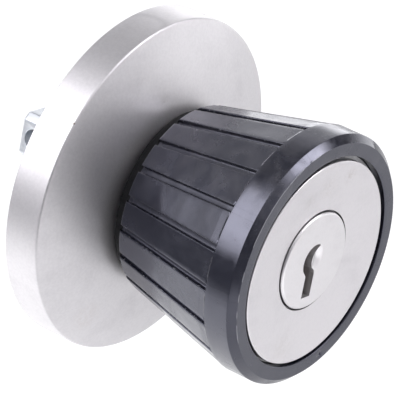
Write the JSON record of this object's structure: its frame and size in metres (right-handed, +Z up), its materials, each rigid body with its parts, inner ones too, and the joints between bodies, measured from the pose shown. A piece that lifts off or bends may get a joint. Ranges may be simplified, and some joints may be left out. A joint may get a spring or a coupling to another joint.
{
  "type": "cabinet knob lock",
  "caption": "Lockable cabinet knob: fluted black knob with a keyed cylinder, domed round rose and a square spindle through the door.",
  "frame": {"origin": "centre of the rose's back face, on the face of the door", "axes": "the lock's axis lies along Y: the keyed front faces -Y and the spindle points to +Y, through the door; +Z is up along the keyway"},
  "size_m": [0.0498, 0.051, 0.0498],
  "materials": {
    "satin_nickel": "satin nickel, finely grained",
    "disc_nickel": "satin nickel with light smudges",
    "plug_nickel": "bright nickel, slightly worn at the keyway",
    "black_plastic": "moulded black plastic, half gloss",
    "cast_zinc": "die-cast zinc, dull grey",
    "zinc_plate": "bright zinc plate, slightly bluish",
    "turned_steel": "turned steel",
    "spring_steel": "dark spring steel",
    "brass": "stamped brass",
    "nylon": "natural nylon"
  },
  "bodies": {
    "rose": {"rose_cover": "satin_nickel", "base_plate": "cast_zinc", "thrust_washer": "nylon"},
    "knob": {"knob_shell": "black_plastic", "face_disc": "disc_nickel", "cylinder_housing": "cast_zinc", "hub": "turned_steel", "spindle": "zinc_plate", "spindle_pin": "spring_steel", "circlip": "spring_steel", "disc_spring": "spring_steel", "housing_screws": "zinc_plate", "bolt_spring": "spring_steel"},
    "plug": {"plug": "plug_nickel", "ramp_cam": "turned_steel", "cam_screw": "zinc_plate", "wafer_spring_1": "spring_steel", "wafer_spring_2": "spring_steel", "wafer_spring_3": "spring_steel", "wafer_spring_4": "spring_steel", "wafer_spring_5": "spring_steel"},
    "bolt": {"locking_pin": "turned_steel"},
    "wafer_1_body": {"wafer_1": "brass"},
    "wafer_2_body": {"wafer_2": "brass"},
    "wafer_3_body": {"wafer_3": "brass"},
    "wafer_4_body": {"wafer_4": "brass"},
    "wafer_5_body": {"wafer_5": "brass"}
  },
  "joints": [
    {"name": "knob_turn", "type": "hinge", "parent": "rose", "child": "knob", "pos_m": [0, 0, 0], "axis": [0, -1, 0], "range_deg": [0, 90]},
    {"name": "plug_turn", "type": "hinge", "parent": "knob", "child": "plug", "pos_m": [0, 0, 0], "axis": [0, -1, 0], "range_deg": [0, 90]},
    {"name": "pin_slide", "type": "slide", "parent": "knob", "child": "bolt", "axis": [0, 1, 0], "range_m": [0, 0.0026], "deforming": ["bolt_spring"]},
    {"name": "wafer_1_slide", "type": "slide", "parent": "plug", "child": "wafer_1_body", "axis": [0, 0, 1], "range_m": [0, 0.0009], "deforming": ["wafer_spring_1"]},
    {"name": "wafer_2_slide", "type": "slide", "parent": "plug", "child": "wafer_2_body", "axis": [0, 0, 1], "range_m": [0, 0.0009], "deforming": ["wafer_spring_2"]},
    {"name": "wafer_3_slide", "type": "slide", "parent": "plug", "child": "wafer_3_body", "axis": [0, 0, 1], "range_m": [0, 0.0009], "deforming": ["wafer_spring_3"]},
    {"name": "wafer_4_slide", "type": "slide", "parent": "plug", "child": "wafer_4_body", "axis": [0, 0, 1], "range_m": [0, 0.0009], "deforming": ["wafer_spring_4"]},
    {"name": "wafer_5_slide", "type": "slide", "parent": "plug", "child": "wafer_5_body", "axis": [0, 0, 1], "range_m": [0, 0.0009], "deforming": ["wafer_spring_5"]}
  ],
  "couplings": [
    {"joint": "pin_slide", "follows": "plug_turn", "m_per_rad": 0.00159}
  ]
}
